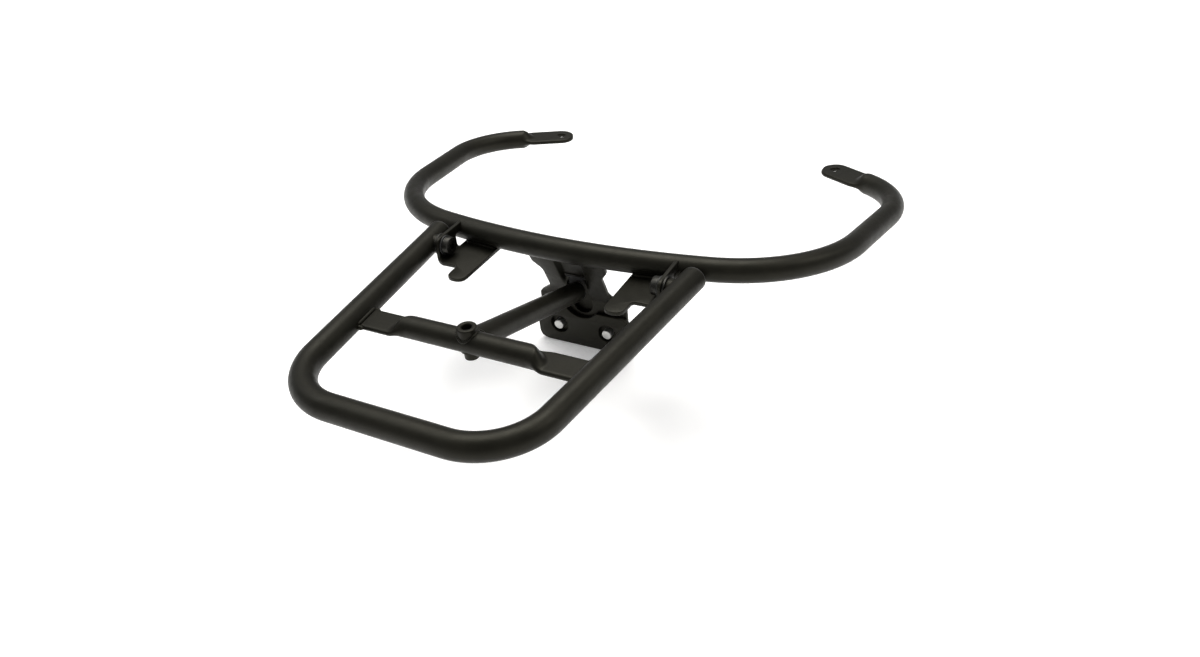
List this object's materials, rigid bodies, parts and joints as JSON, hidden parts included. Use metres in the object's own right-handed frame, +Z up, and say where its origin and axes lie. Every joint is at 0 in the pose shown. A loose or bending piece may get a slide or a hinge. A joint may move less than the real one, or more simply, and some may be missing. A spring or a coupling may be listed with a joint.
{
  "type": "folding luggage rack",
  "caption": "Black tubular scooter tail rack: a bent grab rail with a bolt-on tail bracket carries a U-shaped luggage frame that folds up on side hinges.",
  "frame": {"origin": "midway between the two tail studs, on the faces of their spacers that meet the scooter", "axes": "+X to the rider's right, +Y forward along the tail studs into the scooter, +Z up with the rack level"},
  "size_m": [0.431, 0.4834, 0.113],
  "materials": {
    "black_powder_coat": "satin black powder coat",
    "black_steel": "black zinc plate",
    "bright_zinc": "dull bright zinc plate",
    "black_rubber": "matte moulded rubber",
    "black_nylon": "matte moulded nylon"
  },
  "bodies": {
    "rail": {"grab_rail": "black_powder_coat", "centre_bracket": "black_powder_coat", "tail_plate": "black_powder_coat", "strut_pocket": "black_powder_coat", "strut_buffer": "black_rubber", "tail_spacer_left": "black_powder_coat", "tail_spacer_right": "black_powder_coat", "tail_stud_left": "bright_zinc", "tail_stud_right": "bright_zinc", "hinge_bracket_left": "black_powder_coat", "hinge_bracket_right": "black_powder_coat", "hinge_liner_left": "black_nylon", "hinge_liner_right": "black_nylon"},
    "rack": {"rack_frame": "black_powder_coat", "frame_plug_left": "black_nylon", "frame_plug_right": "black_nylon", "crossbar": "black_powder_coat", "threaded_boss": "black_powder_coat", "strut_tube": "black_powder_coat", "strut_plug": "black_nylon", "hinge_sleeve_left": "black_powder_coat", "hinge_sleeve_right": "black_powder_coat", "hinge_washer_left": "black_steel", "hinge_washer_right": "black_steel", "hinge_bolt_left": "black_steel", "hinge_bolt_right": "black_steel"}
  },
  "joints": [
    {"name": "rack_fold", "type": "hinge", "parent": "rail", "child": "rack", "pos_m": [0, -0.0547, 0.0835], "axis": [-1, 0, 0], "range_deg": [0, 90]}
  ]
}
